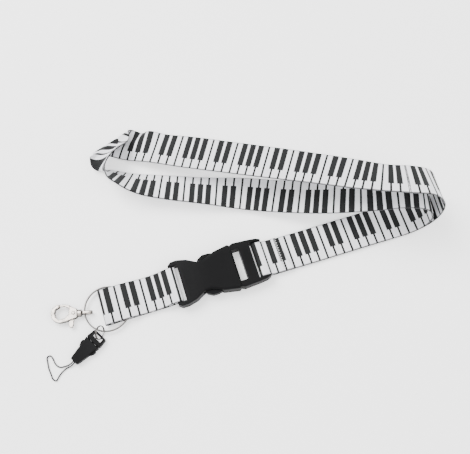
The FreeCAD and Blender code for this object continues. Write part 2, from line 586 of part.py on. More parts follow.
for label, sign in (("mini_prong_left", "-"), ("mini_prong_right", "")):
    body = doc.addObject("PartDesign::Body", label)
    sk = sketch(body, label + "_arm", lift="dims.mini_tall / 2 - 0.9")
    outline = [("dims.mini_mouth", "3.3"), ("14.6", "3.1"), ("15.4", "3.9"), ("14.4", "5.2"),
               ("12.4", "dims.mini_peak - 0.1"), ("10.8", "dims.mini_peak"), ("10.0", "5.9"),
               ("9.8", "4.6"), ("dims.mini_mouth", "4.5")]
    polygon(sk, [(x, "%s(%s)" % (sign, y)) for x, y in outline])
    arm = feature(body, "Pad", label + "_bar", sk, "1.8")
    sk = sketch(body, label + "_root", lift="dims.mini_tall / 2 - 0.9")
    circle(sk, "dims.mini_mouth", sign + "3.9", "0.7")
    root = feature(body, "Pad", label + "_knuckle", sk, "1.8")
    body.Tip = root
    body.Placement = mini_place
    finish(body, label)

body = doc.addObject("PartDesign::Body", "mini_socket")
sk = sketch(body, "mini_socket_outline")
polygon(sk, mirrored([("dims.mini_mouth + 0.05", "dims.mini_shoulder / 2 - 0.1"),
                      ("dims.mini_mouth + 2.0", "dims.mini_shoulder / 2 - 0.3"),
                      ("dims.mini_mouth + 3.4", "4.8"), ("15.6", "4.4"), ("20", "3.7"),
                      ("dims.mini_length - 1", "dims.mini_tip / 2"),
                      ("dims.mini_length", "dims.mini_tip / 2 - 0.8")]))
block = feature(body, "Pad", "mini_socket_block", sk, "dims.mini_tall")
soft = round_edges(body, "mini_socket_edges", block, "0.5", lambda e: level(e, V["mini_tall"]))
sk = sketch(body, "mini_socket_cavity", lift="dims.mini_tall / 2 - 1.05")
polygon(sk, mirrored([("dims.mini_mouth - 1", "5.2"), ("9.6", "5.0"), ("9.6", "8"), ("16", "8"),
                      ("16", "2.8"), ("19.2", "2.8")]))
feature(body, "Pocket", "mini_socket_hollow", sk, "2.1", reverse=True)
sk = sketch(body, "mini_cord_hole", lift="dims.mini_tall / 2 - 0.7")
polygon(sk, mirrored([("21", "1.2"), ("dims.mini_length + 1", "1.2")]))
hole = feature(body, "Pocket", "mini_cord_bore", sk, "1.4", reverse=True)
body.Tip = hole
body.Placement = mini_place
finish(body, "mini_socket")

# link ring: stands leaning on the table, round the split ring's wire and the mini buckle's bar
bar_point = mini_place.multVec(Vector(V["mini_bar"] / 2, 0, 0))
outward = Vector(bar_point.x - V["ring_x"], bar_point.y - V["ring_y"], 0).normalize()
tangent = Vector(-outward.y, outward.x, 0)
tilt = math.radians(V["link_tilt"])
normal = tangent * math.cos(tilt) + Vector(0, 0, math.sin(tilt))
link_rise = V["link_radius"] * math.cos(tilt) + 0.62
link_out = (V["ring_radius"] + (bar_point - Vector(V["ring_x"], V["ring_y"], bar_point.z)).Length) / 2
link_centre = Vector(V["ring_x"], V["ring_y"], link_rise) + outward * link_out
split_ring("link_ring", V["link_radius"], V["link_wire"],
           Placement(link_centre, Rotation(Vector(0, 0, 1), normal)))

# ---------------------------------------------------------------- cord loop

cord_z = V["mini_floor"] + V["mini_tall"] / 2
rest_z = V["cord_wide"] / 2 + 0.14
cord_path = [(21.3, -0.58, cord_z), (24.6, -0.58, cord_z), (27.4, -0.9, 1.3), (30.2, -2.3, rest_z),
             (33.2, -4.6, rest_z), (33.7, -8.6, rest_z), (32.5, -12.6, rest_z), (32.6, -14.9, rest_z),
             (34.2, -15.6, rest_z), (36.3, -13.4, rest_z), (38.7, -9.4, rest_z), (40.5, -5.0, rest_z),
             (41.5, -1.4, rest_z), (40.8, 0.2, rest_z), (38.9, -0.1, rest_z), (35.6, -0.9, rest_z),
             (32.6, -1.0, rest_z), (30.2, -0.6, rest_z), (27.4, 0.5, 1.3), (24.6, 0.58, cord_z),
             (21.3, 0.58, cord_z)]
line = Part.BSplineCurve()
line.interpolate([Vector(x, y, z - V["mini_floor"]) for x, y, z in cord_path])
spine = Part.Wire(line.toShape())
ring = Part.Circle(line.value(line.FirstParameter), Vector(*line.tangent(line.FirstParameter)[0]),
                   V["cord_wide"] / 2)
cord = doc.addObject("Part::Feature", "cord_loop")
cord.Shape = spine.makePipeShell([Part.Wire(ring.toShape())], True, False)
cord.Placement = mini_place
finish(cord, "cord_loop")

# ---------------------------------------------------------------- write

doc.recompute()
failed = [obj.Label for obj in doc.Objects if {"Invalid", "Error"} & set(obj.State)]
if failed:
    raise RuntimeError("these did not build: %s" % failed)
os.makedirs("parts", exist_ok=True)
for obj in pieces:
    shape = obj.Shape
    if shape.isNull() or not shape.isValid() or not shape.Solids:
        raise RuntimeError("%s is not a valid solid" % obj.Label)
    shape.exportStep("parts/%s.step" % obj.Label)
    print("%-20s %8.1f mm3, %d solid(s)" % (obj.Label, shape.Volume, len(shape.Solids)))
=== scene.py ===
import math

import bpy
import numpy as np
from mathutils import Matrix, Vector


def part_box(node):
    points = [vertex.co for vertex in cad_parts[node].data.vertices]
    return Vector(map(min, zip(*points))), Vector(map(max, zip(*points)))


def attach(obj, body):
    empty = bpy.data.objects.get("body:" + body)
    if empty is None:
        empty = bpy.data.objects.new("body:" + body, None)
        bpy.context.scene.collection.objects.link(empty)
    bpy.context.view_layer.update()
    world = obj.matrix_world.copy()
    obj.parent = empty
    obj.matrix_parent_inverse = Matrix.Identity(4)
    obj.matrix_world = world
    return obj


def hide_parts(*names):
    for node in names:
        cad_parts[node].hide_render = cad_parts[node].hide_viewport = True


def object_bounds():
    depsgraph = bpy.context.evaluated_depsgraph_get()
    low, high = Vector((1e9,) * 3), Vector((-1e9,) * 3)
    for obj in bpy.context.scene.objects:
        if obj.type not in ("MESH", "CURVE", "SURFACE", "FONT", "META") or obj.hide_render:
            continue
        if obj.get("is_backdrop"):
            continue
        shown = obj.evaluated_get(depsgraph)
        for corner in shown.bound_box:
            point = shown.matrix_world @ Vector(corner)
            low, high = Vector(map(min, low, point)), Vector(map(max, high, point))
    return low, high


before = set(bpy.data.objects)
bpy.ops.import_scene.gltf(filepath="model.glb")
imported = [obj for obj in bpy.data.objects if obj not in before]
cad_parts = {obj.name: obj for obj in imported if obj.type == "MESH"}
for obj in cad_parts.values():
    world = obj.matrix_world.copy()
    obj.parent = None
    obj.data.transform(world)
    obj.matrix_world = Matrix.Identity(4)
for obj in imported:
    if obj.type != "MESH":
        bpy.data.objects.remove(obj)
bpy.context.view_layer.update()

# A neck lanyard with a keyboard printed on its webbing, dressed round its CAD frame. The shapes are
# worked out in millimetres, and make_mesh turns them into metres. Materials, lights and the camera
# are in metres.

MM = 0.001

# ---------------------------------------------------------------- curves


def chords(points):
    """Length along a polyline at each of its points."""
    p = np.asarray(points, float)
    return np.concatenate([[0.0], np.cumsum(np.linalg.norm(np.diff(p, axis=0), axis=1))])


def rows_unit(v):
    return v / np.linalg.norm(v, axis=1, keepdims=True)


def spline(values, params):
    """Cubic spline through values at params, as a function of an array of parameters. Each end's
    slope is that of the cubic through the nearest four points."""
    x, y = np.asarray(params, float), np.asarray(values, float)
    y = y.reshape(len(x), -1)
    n, h = len(x), np.diff(x)

    def end_slope(near):
        end, total = near[0], np.zeros(y.shape[1])
        for j in near:
            others = [m for m in near if m != j]
            under = np.prod([x[j] - x[m] for m in others])
            over = sum(np.prod([x[end] - x[m] for m in others if m != q]) for q in others)
            total += y[j] * over / under
        return total

    a, b = np.zeros((n, n)), np.zeros_like(y)
    a[0, 0] = a[-1, -1] = 1.0
    b[0], b[-1] = end_slope([0, 1, 2, 3]), end_slope([n - 1, n - 2, n - 3, n - 4])
    for i in range(1, n - 1):
        a[i, i - 1], a[i, i], a[i, i + 1] = h[i], 2 * (h[i - 1] + h[i]), h[i - 1]
        b[i] = 3 * (h[i] * (y[i] - y[i - 1]) / h[i - 1] + h[i - 1] * (y[i + 1] - y[i]) / h[i])
    slope = np.linalg.solve(a, b)

    def value(u):
        u = np.asarray(u, float)
        i = np.clip(np.searchsorted(x, u) - 1, 0, n - 2)
        step = h[i][:, None]
        t = ((u - x[i]) / h[i])[:, None]
        return ((2 * t ** 3 - 3 * t ** 2 + 1) * y[i] + (t ** 3 - 2 * t ** 2 + t) * step * slope[i]
                + (3 * t ** 2 - 2 * t ** 3) * y[i + 1] + (t ** 3 - t ** 2) * step * slope[i + 1])

    return value


def even(curve, last, spacing):
    """Parameters spaced evenly by length along a curve, and those lengths."""
    fine = np.linspace(0, last, int(last / 0.1) + 2)
    length = chords(curve(fine))
    count = max(4, int(round(length[-1] / spacing)) + 1)
    even_length = np.linspace(0, length[-1], count)
    return np.interp(even_length, length, fine), even_length


def carried(ahead):
    """Two directions square to each step of a line, carried along it without twist."""
    first = np.cross(ahead[0], (0.0, 0.0, 1.0))
    if np.linalg.norm(first) < 1e-3:
        first = np.cross(ahead[0], (0.0, 1.0, 0.0))
    frames = []
    for t in ahead:
        first = first - t * np.dot(first, t)
        first = first / np.linalg.norm(first)
        frames.append((first, np.cross(t, first)))
    return np.array(frames).transpose(1, 0, 2)


# ---------------------------------------------------------------- the path of the webbing

WIDTH = 25.0
THICK = 1.2
LAYER = 1.4  # from one layer of webbing to the next, in a stack
LYING = THICK / 2  # height of the middle of webbing that lies on the table
BAR_WRAP = 1.5 + 0.15 + THICK / 2  # radius of webbing round a buckle's bar, with its clearance
BAR_HEIGHT = 5.0

OUTER_ROLL = {"x": 124.5, "axis": 81.0, "radius": 22.4, "bank": -20.0}
INNER_ROLL = {"x": 127.5, "axis": 80.5, "radius": 15.0, "heading": -19.0}
FOLD = {"start": Vector((-51.5, 118.0, 1.6)), "heading": 148.0, "axis": 198.5, "radius": 3.4}


def unit(azimuth, elevation=0.0):
    az, el = math.radians(azimuth), math.radians(elevation)
    return Vector((math.cos(el) * math.cos(az), math.cos(el) * math.sin(az), math.sin(el)))


def station(x, y, z, azimuth=90.0, bank=0.0, skew=0.0):
    """Middle of the webbing, the way its side points, and how far that side runs ahead."""
    return (Vector((x, y, z)), unit(azimuth, bank), skew)


def roll(start, heading, axis, radius, up, side, bank, count):
    """Half a turn of webbing about a level axis; its cross lines stay parallel to the axis."""
    along, across, lift = unit(axis), unit(axis - 90.0), Vector((0, 0, up))
    meet = math.radians(axis - heading)
    cos_a, sin_a = math.cos(meet), math.sin(meet)
    skew = side * WIDTH / 2 * cos_a / sin_a
    stations = []
    for k in range(1, count + 1):
        turn = math.pi * k / count
        point = (start + along * (cos_a / sin_a * radius * turn) + across * (radius * math.sin(turn))
                 + lift * (radius * (1 - math.cos(turn))))
        tangent = across * math.cos(turn) + lift * math.sin(turn)
        lean = math.tan(math.radians(bank)) * (1 - math.cos(turn)) / 2
        side_line = (along * sin_a - tangent * cos_a) * side + Vector((0, 0, lean))
        stations.append((point, side_line, skew))
    return stations


def wrap(x, z, radius, first, last, count=6):
    """Webbing round a bar that runs along y."""
    stations = []
    for k in range(count + 1):
        turn = math.radians(first + (last - first) * k / count)
        stations.append(station(x + radius * math.cos(turn), 0, z + radius * math.sin(turn)))
    return stations


def neck_path():
    # from the top of the stitched stack, over the plug's bar and back beneath it
    top = LYING + 2 * LAYER
    path = [station(36, 0, top, skew=3.0), station(31.5, 0, top), station(27.6, 0, top + 0.03),
            station(24.6, 0, top + 0.5), station(20.8, 0, 6.35)]
    path += wrap(17.6, BAR_HEIGHT, BAR_WRAP, 90, 270)
    path += [station(20.5, 0, 2.2), station(23.7, 0, LYING + 0.25), station(27.4, 0, LYING)]
    # along the table and up through the outer roll
    path += [station(x, 0, LYING) for x in (50, 80, 105, 114, 120, OUTER_ROLL["x"])]
    path += roll(path[-1][0], 0, OUTER_ROLL["axis"], OUTER_ROLL["radius"], 1, 1, OUTER_ROLL["bank"], 8)
    # the far run, down to the fold
    path += [station(*s) for s in (
        (112, 16.4, 45.6, 68, -21, 1), (99, 23.6, 43.2, 62, -17), (74, 39.6, 36.4, 58, -10),
        (43, 58.9, 28.0, 58, -4), (12, 78.3, 19.4, 58, 0), (-14, 94.6, 12.0, 58, 0, -1.2),
        (-31, 105.2, 7.4, 58, 0, -4.0), (-43, 112.7, 4.0, 58, 0, -7.2))]
    path += [(FOLD["start"], unit(58), -10.3)]
    path += roll(FOLD["start"], FOLD["heading"], FOLD["axis"], FOLD["radius"], 1, -1, 3, 6)
    # on its edge through the twist, then the near run
    path += [station(*s) for s in (
        (-62.8, 110.0, 10.0, -17, 26, -7.8), (-66.2, 104.6, 11.8, -26, 45, -3.5),
        (-67.6, 100.2, 12.5, -46, 60, 0.8), (-68.0, 96.4, 12.6, -75, 64, 2.6),
        (-66.6, 93.4, 11.7, -95, 57, 1.6), (-62.3, 89.6, 10.6, -104, 50, 1.6),
        (-54.4, 83.7, 9.2, -110, 41, 1.0), (-34.1, 73.9, 6.4, -117, 26, -1.4),
        (-0.9, 60.5, 4.8, -118, 17, -1.6), (20, 52.5, 3.4, -115, 3), (45, 40.5, 7.6, -115, 0),
        (70, 28.6, 15.0, -114, 0), (95, 18.2, 24.0, -111, 0), (113, 11.9, 30.4, -109, 0))]
    # down through the inner roll and back over the first run, into the middle of the stack
    heading, axis, radius = INNER_ROLL["heading"], INNER_ROLL["axis"], INNER_ROLL["radius"]
    drift = math.pi * radius / math.tan(math.radians(axis - heading))
    start = Vector((INNER_ROLL["x"], -unit(axis).y * drift, LYING + LAYER + 2 * radius))
    path += [(start, unit(heading - 90), 0.0)]
    path += roll(start, heading, axis, radius, -1, -1, 0, 8)
    return path + [station(x, 0, LYING + LAYER, -90) for x in (105, 80, 55, 31, 28)]


def lower_path():
    ring_height, ring_wrap = 2.68, 1.73
    low, high = ring_height - ring_wrap, ring_height + ring_wrap
    # from the first end, on the table's side, round the split ring
    path = [station(-63, 0, low), station(-78, 0, low), station(-88, 0, low)]
    path += wrap(-93.0, ring_height, ring_wrap, 270, 90)
    # back over the first layer, round the socket's bar and beneath it to the first end
    path += [station(-86, 0, high), station(-76, 0, high - 0.1), station(-69, 0, low + LAYER + 0.45),
             station(-61, 0, low + LAYER), station(-53.5, 0, low + LAYER + 1.3), station(-48, 0, 6.2)]
    path += wrap(-43.0, BAR_HEIGHT, BAR_WRAP, 90, -90)
    return path + [station(-46.5, 0, 2.0), station(-50.5, 0, low + 0.15), station(-55, 0, low),
                   station(-61.5, 0, low)]


# ---------------------------------------------------------------- meshes


def make_mesh(name, points, faces, material, uvs=None):
    """Object from points in millimetres and faces of indices, with one UV pair per face corner."""
    mesh = bpy.data.meshes.new(name)
    mesh.from_pydata([tuple(p) for p in np.asarray(points, float) * MM], [], [list(f) for f in faces])
    if uvs is not None:
        layer = mesh.uv_layers.new(name="print")
        layer.data.foreach_set("uv", np.asarray(uvs, np.float32).ravel())
    mesh.validate()
    mesh.update()
    mesh.polygons.foreach_set("use_smooth", [True] * len(mesh.polygons))
    mesh.materials.append(material)
    obj = bpy.data.objects.new(name, mesh)
    bpy.context.scene.collection.objects.link(obj)
    return obj


def dress(obj, node, body):
    """Let a shaped piece stand in for its CAD node, on that node's body."""
    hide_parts(node)
    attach(obj, body)


def tube(path, radius, sides):
    """Points and faces of a round tube along a polyline, closed at both ends."""
    p = np.asarray(path, float)
    first, second = carried(rows_unit(np.gradient(p, axis=0)))
    points = []
    for k in range(sides):
        angle = 2 * math.pi * k / sides
        points.append(p + radius * (first * math.cos(angle) + second * math.sin(angle)))
    points = np.stack(points, 1).reshape(-1, 3)
    faces = []
    for i in range(len(p) - 1):
        here, there = i * sides, (i + 1) * sides
        for k in range(sides):
            n = (k + 1) % sides
            faces.append((here + k, here + n, there + n, there + k))
    faces.append(tuple(range(sides - 1, -1, -1)))
    faces.append(tuple((len(p) - 1) * sides + k for k in range(sides)))
    return points, faces


def join(parts):
    points, faces, base = [], [], 0
    for p, f in parts:
        points.append(p)
        faces += [tuple(i + base for i in face) for face in f]
        base += len(p)
    return np.concatenate(points), faces


# ---------------------------------------------------------------- the webbing

PITCH = 6.1  # width of one white key of the print
PICK_SPACING = 0.5  # length of one row of the webbing's mesh
COLUMNS = 20  # columns of the mesh across each face
FACE_REACH = 0.982  # share of the half width that is flat face
CORNER_REACH, CORNER_HEIGHT = 0.994, 0.72  # the corner of the selvedge, in shares of both halves
SELVEDGE_STEP = 0.05  # how far the picks stand out and in by turns at the selvedge
FACE_SINK = 0.06  # the faces lie this far inside the CAD faces, which leaves room for the ripples
# height, length of one radian along the webbing, and radians from its middle to its side
RIPPLES = ((0.035, 3.1, 2.0), (0.03, 7.7, -3.1))


def section():
    """Points round the webbing's cross section: share of the half width, share of the half
    thickness, and how far the point counts as selvedge."""
    ring = []
    for side in (1, -1):
        for k in range(COLUMNS + 1):
            share = side * (-1 + 2 * k / COLUMNS) * FACE_REACH
            ring.append((share, side, 0.0 if 0 < k < COLUMNS else 0.4))
        ring += [(side * CORNER_REACH, side * CORNER_HEIGHT, 0.8), (side * 1.0, 0.0, 1.0),
                 (side * CORNER_REACH, -side * CORNER_HEIGHT, 0.8)]
    return ring


def sweep(path, ring):
    """The section's points along a path, as rows of rings, with each row's length and skew."""
    centres = np.array([s[0] for s in path])
    params = chords(centres)
    spine = spline(centres, params)
    nudge = 1e-3
    ahead = rows_unit(spine(params + nudge) - spine(params - nudge))
    ahead[0] = (spine(params[:1] + nudge) - spine(params[:1]))[0] / nudge
    side = np.array([s[1] for s in path])
    side = rows_unit(side - ahead * np.sum(side * ahead, 1)[:, None])
    skews = np.array([s[2] for s in path])
    u, length = even(spine, params[-1], PICK_SPACING)
    middle = spine(u)
    normal = spline(np.cross(ahead, side), params)(u)
    reach = spline(side * WIDTH / 2 + ahead * skews[:, None], params)(u)
    weft = np.where(np.arange(len(u)) % 2, SELVEDGE_STEP, -SELVEDGE_STEP)
    points = np.zeros((len(u), len(ring), 3))
    for j, (share, level, selvedge) in enumerate(ring):
        lateral = share * (1 + weft * selvedge / (WIDTH / 2))
        height = (THICK / 2 - FACE_SINK) * level
        for depth, radian, shift in RIPPLES:
            height = height + depth * np.sin(length / radian + share * shift)
        points[:, j] = middle + reach * lateral[:, None] + normal * height[:, None]
    return points, length, spline(skews, params)(u)[:, 0]


def webbing(name, path, material, prints, flip=False):
    """Woven strap along a path. prints gives, for each face, which key of the print lies at which
    length; a jump in it is a seam of the print. flip turns the print end for end."""
    ring = section()
    points, length, skew = sweep(path, ring)
    count, around = points.shape[:2]
    here, there = np.arange(count - 1), np.arange(1, count)
    faces, uvs = [], []
    for j in range(around):
        k = (j + 1) % around
        level = ring[j][1] + ring[k][1]
        upper = level > 0 or (level == 0 and ring[j][0] > 0)
        lengths, keys = zip(*prints["over" if upper else "under"])
        sign = 1.0 if upper != flip else -1.0
        corners, places = [], []
        for rows, column in ((here, j), (here, k), (there, k), (there, j)):
            share = ring[column][0]
            key = np.interp(length[rows] + skew[rows] * share, lengths, keys)
            across = np.full(len(rows), WIDTH / 2 * (1 + sign * share))
            corners.append(rows * around + column)
            places.append(np.stack([key * PITCH, across], 1))
        faces.append(np.stack(corners, 1))
        uvs.append(np.stack(places, 1).reshape(-1, 2))
    ends = [list(range(around - 1, -1, -1)), [(count - 1) * around + j for j in range(around)]]
    uvs.append(np.array([(0.5, WIDTH - 1.0)] * (2 * around)))
    return make_mesh(name, points.reshape(-1, 3), [list(f) for f in np.concatenate(faces)] + ends,
                     material, np.concatenate(uvs))


# ---------------------------------------------------------------- stitches and cord


def tack(name, node, body, swing, teeth, face_z, up, thread, arch):
    """A zigzag row of stitches inside the space of its CAD node: each stitch arches over the
    face and both ends sink into the webbing."""
    sink = 0.22
    low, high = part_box(node)
    x = (low.x + high.x) / 2 / MM
    near, far = low.y / MM + thread, high.y / MM - thread
    parts = []
    for k in range(teeth):
        lean = swing if k % 2 else -swing
        a = np.array([x + lean, near + (far - near) * k / teeth, face_z])
        b = np.array([x - lean, near + (far - near) * (k + 1) / teeth, face_z])
        path = []
        for s in np.linspace(0, 1, 9):
            rise = arch * math.sin(math.pi * s) ** 0.6 - sink * abs(2 * s - 1) ** 6
            path.append(a + (b - a) * s + np.array([0, 0, up * rise]))
        parts.append(tube(path, thread / 2, 7))
    dress(make_mesh(name, *join(parts), thread_mat), node, body)


def braid(name, node, body, path, radius):
    """Round braided cord: four strands each way, crossing over and under."""
    params = chords(path)
    curve = spline(path, params)
    u, length = even(curve, params[-1], 0.16)
    core = curve(u)
    first, second = carried(rows_unit(np.gradient(core, axis=0)))
    lay, strand = 3.4, radius * 0.34  # length of one turn of a strand, and its radius
    parts = [tube(core, radius * 0.62, 8)]
    for way in (1, -1):
        for k in range(4):
            angle = way * 2 * math.pi * length / lay + k * math.pi / 2 + (0.25 if way > 0 else 0.0)
            weave = way * strand * 0.22 * np.cos(8 * math.pi * length / lay + 0.5)
            out = radius - strand * 1.12 + weave
            line = core + first * (out * np.cos(angle))[:, None] + second * (out * np.sin(angle))[:, None]
            parts.append(tube(line, strand, 6))
    dress(make_mesh(name, *join(parts), cord_mat), node, body)


def cord_path():
    """The cord's loop, drawn along the small buckle's own length and then put at its place."""
    in_buckle, slope, lying = 2.0, 1.15, 0.49
    out = [(21.3, -0.58, in_buckle), (24.6, -0.58, in_buckle), (27.4, -0.9, slope)]
    loop = [(30.2, -2.3), (33.2, -4.6), (33.7, -8.6), (32.5, -12.6), (32.6, -14.9), (34.2, -15.6),
            (36.3, -13.4), (38.7, -9.4), (40.5, -5.0), (41.5, -1.4), (40.8, 0.2), (38.9, -0.1),
            (35.6, -0.9), (32.6, -1.0), (30.2, -0.6)]
    back = [(27.4, 0.5, slope), (24.6, 0.58, in_buckle), (21.3, 0.58, in_buckle)]
    origin, turn = (-99.9, -17.2, 0.15), math.radians(209.8)
    cos_t, sin_t = math.cos(turn), math.sin(turn)
    return [(origin[0] + cos_t * x - sin_t * y, origin[1] + sin_t * x + cos_t * y, origin[2] + z)
            for x, y, z in out + [(x, y, lying) for x, y in loop] + back]


# ---------------------------------------------------------------- materials


class Look:
    """A procedural material, built node by node."""

    def __init__(self, name):
        self.mat = bpy.data.materials.new(name)
        self.mat.use_nodes = True
        self.tree = self.mat.node_tree
        self.tree.nodes.clear()
        out = self.tree.nodes.new("ShaderNodeOutputMaterial")
        self.bsdf = self.tree.nodes.new("ShaderNodeBsdfPrincipled")
        self.tree.links.new(self.bsdf.outputs[0], out.inputs[0])

    def put(self, node, key, value):
        if isinstance(value, bpy.types.NodeSocket):
            self.tree.links.new(value, node.inputs[key])
        else:
            node.inputs[key].default_value = value

    def node(self, kind, inputs=None, **props):
        node = self.tree.nodes.new("ShaderNode" + kind)
        for key, value in props.items():
            setattr(node, key, value)
        for key, value in (inputs or {}).items():
            self.put(node, key, value)
        return node

    def math(self, operation, *args):
        return self.node("Math", dict(enumerate(args)), operation=operation).outputs[0]

    def ramp(self, value, low, high, out_low=0.0, out_high=1.0):
        """Smooth step of a value from low to high."""
        node = self.node("MapRange", {0: value, 1: low, 2: high, 3: out_low, 4: out_high})
        node.interpolation_type = "SMOOTHSTEP"
        return node.outputs[0]

    def below(self, value, limit, soft):
        """1 where a value is below a limit and 0 above it, with a soft edge."""
        return self.ramp(value, limit + soft, limit - soft)

    def mix(self, share, a, b):
        return self.node("Mix", {0: share, 6: a, 7: b}, data_type="RGBA").outputs[2]

    def place(self):
        return self.node("TexCoord").outputs["Object"]

    def noise(self, scale, detail=3.0, where=None, rough=0.5):
        inputs = {"Scale": scale, "Detail": detail, "Roughness": rough, "Vector": where or self.place()}
        return self.node("TexNoise", inputs).outputs[0]

    def rounded(self, radius, samples):
        """The surface normal, rounded over its edges."""
        return self.node("Bevel", {"Radius": radius}, samples=samples).outputs[0]

    def flatness(self, normal):
        """1 where a rounded normal agrees with the surface, less toward an edge."""
        surface = self.node("NewGeometry").outputs["Normal"]
        return self.node("VectorMath", {0: normal, 1: surface}, operation="DOT_PRODUCT").outputs["Value"]

    def bump(self, height, distance, strength, normal=None):
        inputs = {"Strength": strength, "Distance": distance, "Height": height}
        if normal is not None:
            inputs["Normal"] = normal
        return self.node("Bump", inputs).outputs[0]

    def set(self, **inputs):
        for key, value in inputs.items():
            self.put(self.bsdf, key.replace("_", " "), value)
        return self.mat


def gray(level, red=1.0, green=1.0, blue=1.0):
    return (level * red, level * green, level * blue, 1.0)


def key_ink(m, along, across):
    """Where the print is black: the black keys, the lines between white keys and a border. Seven
    white keys make one octave, and the black keys stand over the lines between them."""
    black_half, black_front, line_half, border_width = 2.08, 18.0, 0.72, 0.465
    key = m.math("DIVIDE", along, PITCH)
    nearest = m.math("ROUND", key)
    off = m.math("MULTIPLY", m.math("ABSOLUTE", m.math("SUBTRACT", key, nearest)), PITCH)
    index = m.math("FLOORED_MODULO", nearest, 7.0)
    bare = 0.0
    for line_without_black in (0.0, 3.0, 7.0):
        bare = m.math("MAXIMUM", bare, m.math("COMPARE", index, line_without_black, 0.3))
    black = m.math("MULTIPLY", m.below(off, black_half, 0.08), m.below(across, black_front, 0.1))
    black = m.math("MULTIPLY", black, m.math("SUBTRACT", 1.0, bare))
    line = m.below(off, line_half, 0.08)
    painted_edge_shade = m.math("MINIMUM", across, m.math("SUBTRACT", WIDTH, across))
    border = m.math("MULTIPLY", m.below(painted_edge_shade, border_width, 0.085), 0.85)
    return m.math("MAXIMUM", m.math("MAXIMUM", black, line), border)


def plain_weave(m, along, across):
    """Height of a plain weave: each pick shifts the warp ribs by half a rib."""
    rib, pick = 0.52, 0.58
    row = m.math("FLOOR", m.math("DIVIDE", along, pick))
    shift = m.math("MULTIPLY", m.math("FLOORED_MODULO", row, 2.0), 0.5)
    ribs = m.math("ADD", m.math("DIVIDE", across, rib), shift)
    warp = m.math("SINE", m.math("MULTIPLY", ribs, 2 * math.pi))
    weft = m.math("SINE", m.math("MULTIPLY", m.math("FRACT", m.math("DIVIDE", along, pick)), math.pi))
    return m.math("MULTIPLY", m.math("MULTIPLY_ADD", warp, 0.5, 0.5), weft)


def webbing_look():
    """Polyester webbing with a keyboard printed on both faces."""
    m = Look("key_print_webbing")
    place = m.node("UVMap", uv_map="print").outputs[0]
    xyz = m.node("SeparateXYZ", {0: place})
    along, across = xyz.outputs[0], xyz.outputs[1]
    # the ink creeps a little along the yarns
    creep = m.math("MULTIPLY", m.math("SUBTRACT", m.noise(2.2, 4.0, place), 0.5), 0.28)
    ink = key_ink(m, m.math("ADD", along, creep), m.math("ADD", across, m.math("MULTIPLY", creep, 1.4)))
    weave = plain_weave(m, along, across)
    height = m.math("ADD", weave, m.math("MULTIPLY", m.noise(9.0, 5.0, place, 0.65), 0.35))
    cloud = m.math("MULTIPLY_ADD", m.noise(0.05, 2.0, place), 0.12, 0.80)
    # painted shade: the weave's hollows are darker than its yarn tops, over a random cloud of tone
    tone_and_weave_shade = m.math("MULTIPLY_ADD", weave, 0.10, cloud)
    white = m.mix(tone_and_weave_shade, gray(0.42, 0.98, 0.97, 1.05), gray(0.86, 0.985, 0.985, 1.02))
    # painted shade on the ink too: darker in the weave's hollows
    dark = m.mix(weave, gray(0.005, 0.95, 1.0, 1.05), gray(0.014, 0.95, 1.0, 1.05))
    return m.set(Base_Color=m.mix(ink, white, dark),
                 Roughness=m.math("MULTIPLY_ADD", ink, -0.12, 0.86),
                 Sheen_Weight=m.math("MULTIPLY_ADD", ink, -0.17, 0.2), Sheen_Roughness=0.5,
                 Specular_IOR_Level=m.math("MULTIPLY_ADD", ink, -0.1, 0.3),
                 Normal=m.bump(height, 0.00009, 0.7))


def thread_look(name, level):
    """Twisted yarn."""
    m = Look(name)
    inputs = {"Vector": m.place(), "Scale": 900.0, "Distortion": 1.5, "Detail": 2.0}
    twist = m.node("TexWave", inputs, bands_direction="DIAGONAL").outputs["Fac"]
    share = m.math("MULTIPLY_ADD", twist, 0.5, m.math("MULTIPLY", m.noise(2500.0), 0.5))
    return m.set(Base_Color=m.mix(share, gray(level * 0.6), gray(level)), Roughness=0.7,
                 Sheen_Weight=0.3, Specular_IOR_Level=0.35, Normal=m.bump(twist, 0.00004, 0.8))


def plastic_look(name, rounding):
    """Moulded acetal: fine spark texture, faint flow marks, edges rubbed smoother and made lighter,
    partly by wear and partly by a painted highlight.
    """
    m = Look(name)
    level = 0.0055
    soft = m.rounded(rounding, 8)
    cloud = m.noise(160.0, 4.0)
    # edges lighter in patches: part wear, part painted highlight
    wear_and_edge_highlight = m.math("MULTIPLY", m.ramp(m.flatness(soft), 0.995, 0.86), m.ramp(cloud, 0.3, 0.7))
    grain = m.noise(7000.0, 2.0)
    flow = m.ramp(m.noise(45.0, 2.0), 0.35, 0.75, 0.0, 0.25)
    colour = m.mix(m.math("MULTIPLY", wear_and_edge_highlight, 0.5), gray(level, 1.0, 1.0, 1.06), gray(0.022))
    colour = m.mix(flow, colour, gray(level * 2.2, 1.0, 1.0, 1.05))
    rough = m.math("MULTIPLY_ADD", wear_and_edge_highlight, -0.10, m.math("MULTIPLY_ADD", cloud, 0.14, 0.36))
    return m.set(Base_Color=colour, Roughness=rough, Specular_IOR_Level=0.04,
                 Normal=m.bump(grain, 0.000012, 0.55, soft))


